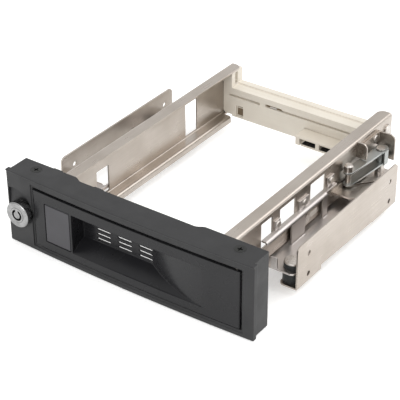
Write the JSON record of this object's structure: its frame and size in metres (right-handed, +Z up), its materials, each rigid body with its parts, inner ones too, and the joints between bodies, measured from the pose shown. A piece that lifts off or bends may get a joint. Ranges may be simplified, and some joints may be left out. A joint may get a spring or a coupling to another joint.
{
  "type": "hot swap drive cage",
  "caption": "Half-height bay frame that takes a 3.5-inch drive through a hinged front door whose opening works a link and lever that eject the drive.",
  "frame": {"origin": "centre of the bounding box in plan, at the underside of the bezel", "axes": "+X to the right seen from the front, +Y from the bezel to the rear, +Z up"},
  "size_m": [0.1486, 0.1752, 0.0421],
  "materials": {
    "bezel_abs": "finely textured black ABS",
    "door_abs": "satin black ABS",
    "label_plate": "bare satin plate",
    "nickel_steel": "rolled steel sheet with warm nickel plating",
    "rivet_steel": "bright plated steel",
    "plated_screw": "bright plated steel",
    "black_screw": "black oxide steel",
    "zinc_steel": "dull grey zinc plating",
    "lock_chrome": "satin chrome on die-cast zinc",
    "cream_abs": "moulded cream ABS",
    "connector_plastic": "moulded ivory nylon",
    "port_plastic": "black nylon",
    "circuit_board": "green solder mask",
    "mount_rubber": "moulded black rubber"
  },
  "bodies": {
    "cage": {"front_bezel": "bezel_abs", "bezel_screws": "black_screw", "hinge_pins": "rivet_steel", "lock_body": "lock_chrome", "lock_nut": "plated_screw", "left_rail": "nickel_steel", "right_rail": "nickel_steel", "rail_rivets": "rivet_steel", "rear_carrier": "cream_abs", "carrier_screws": "plated_screw", "backplane_board": "circuit_board", "board_screws": "plated_screw", "drive_connector": "connector_plastic", "data_port": "port_plastic", "power_port": "port_plastic", "link_guides": "rivet_steel", "pivot_bracket": "nickel_steel", "lever_pivot_pin": "rivet_steel", "left_foot_plate": "nickel_steel", "left_bracket": "nickel_steel", "left_front_grommet": "mount_rubber", "left_front_stud": "plated_screw", "left_rear_grommet": "mount_rubber", "left_rear_stud": "plated_screw", "right_foot_plate": "nickel_steel", "right_bracket": "nickel_steel", "right_front_grommet": "mount_rubber", "right_front_stud": "plated_screw", "right_rear_grommet": "mount_rubber", "right_rear_stud": "plated_screw"},
    "door": {"door_panel": "door_abs", "door_label_plate": "label_plate", "door_crank": "zinc_steel", "crank_screws": "plated_screw", "crank_pin": "rivet_steel"},
    "lock_core": {"lock_plug": "lock_chrome", "lock_cam": "zinc_steel", "cam_nut": "plated_screw"},
    "link": {"push_link": "nickel_steel"},
    "lever": {"eject_lever": "zinc_steel", "eject_arm": "zinc_steel", "cam_pin": "rivet_steel", "cam_pin_cap": "rivet_steel"}
  },
  "joints": [
    {"name": "door_hinge", "type": "hinge", "parent": "cage", "child": "door", "pos_m": [0.064, -0.081, 0.02105], "axis": [0, 0, 1], "range_deg": [0, 95]},
    {"name": "lock_turn", "type": "hinge", "parent": "cage", "child": "lock_core", "pos_m": [-0.0646, -0.0834, 0.0205], "axis": [0, -1, 0], "range_deg": [0, 90]},
    {"name": "link_slide", "type": "slide", "parent": "cage", "child": "link", "axis": [0, -1, 0], "range_m": [0, 0.01033]},
    {"name": "lever_pivot", "type": "hinge", "parent": "cage", "child": "lever", "pos_m": [0.058, 0.0621, 0.02105], "axis": [0, 0, 1], "range_deg": [0, 21.2]}
  ],
  "couplings": [
    {"joint": "link_slide", "follows": "door_hinge", "m_per_rad": 0.0061723},
    {"joint": "lever_pivot", "follows": "door_hinge", "ratio": 0.22105}
  ]
}
